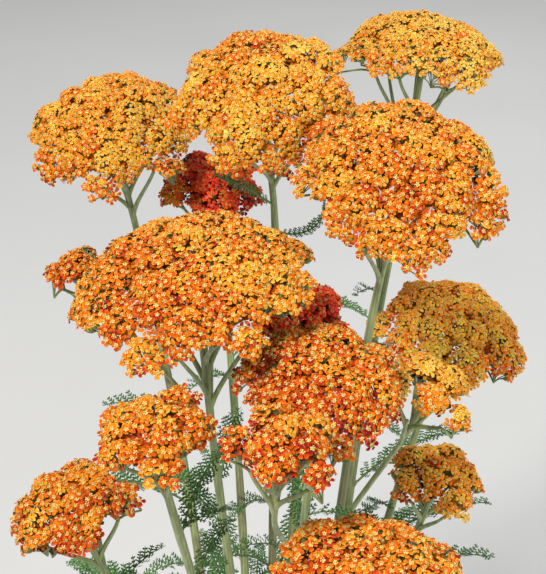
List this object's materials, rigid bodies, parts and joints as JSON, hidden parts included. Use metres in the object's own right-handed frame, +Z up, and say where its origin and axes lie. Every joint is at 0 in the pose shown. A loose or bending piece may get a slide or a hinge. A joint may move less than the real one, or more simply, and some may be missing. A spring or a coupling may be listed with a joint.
{
  "type": "yarrow plant",
  "caption": "Garden perennial with domed heads of small florets on leafy branching stems, planted in a round clay pot of soil.",
  "frame": {"origin": "centre of the pot's flat underside", "axes": "+Z up along the stems, -Y towards the side seen from the front, +X to the viewer's right"},
  "size_m": [0.2822, 0.4005, 0.5736],
  "materials": {
    "pot_clay": "matt, unglazed",
    "soil": "matt, crumbly",
    "stem_green": "matt, downy",
    "petals_orange": "matt",
    "petals_red": "matt"
  },
  "bodies": {
    "root": {"pot": "pot_clay", "soil": "soil", "flower_head_top": "petals_orange", "flower_head_left_top": "petals_orange", "flower_head_right": "petals_orange", "flower_head_left": "petals_orange", "flower_head_back_right": "petals_orange", "flower_head_red_back": "petals_red", "flower_head_centre": "petals_orange", "flower_head_red_centre": "petals_red", "flower_head_centre_shoot": "petals_orange", "flower_head_front_left": "petals_orange", "flower_head_front_shoot": "petals_orange", "flower_head_right_low": "petals_orange", "flower_head_left_low": "petals_orange", "flower_head_front_low": "petals_orange", "flower_head_right_small": "petals_orange", "flower_head_left_small": "petals_orange", "stem_top": "stem_green", "stem_left_top": "stem_green", "stem_right": "stem_green", "stem_left": "stem_green", "stem_back_right": "stem_green", "stem_red_back": "stem_green", "stem_centre": "stem_green", "stem_red_centre": "stem_green", "stem_front_left": "stem_green", "stem_right_low": "stem_green", "stem_left_low": "stem_green", "stem_front_low": "stem_green", "stem_right_small": "stem_green"}
  },
  "joints": []
}
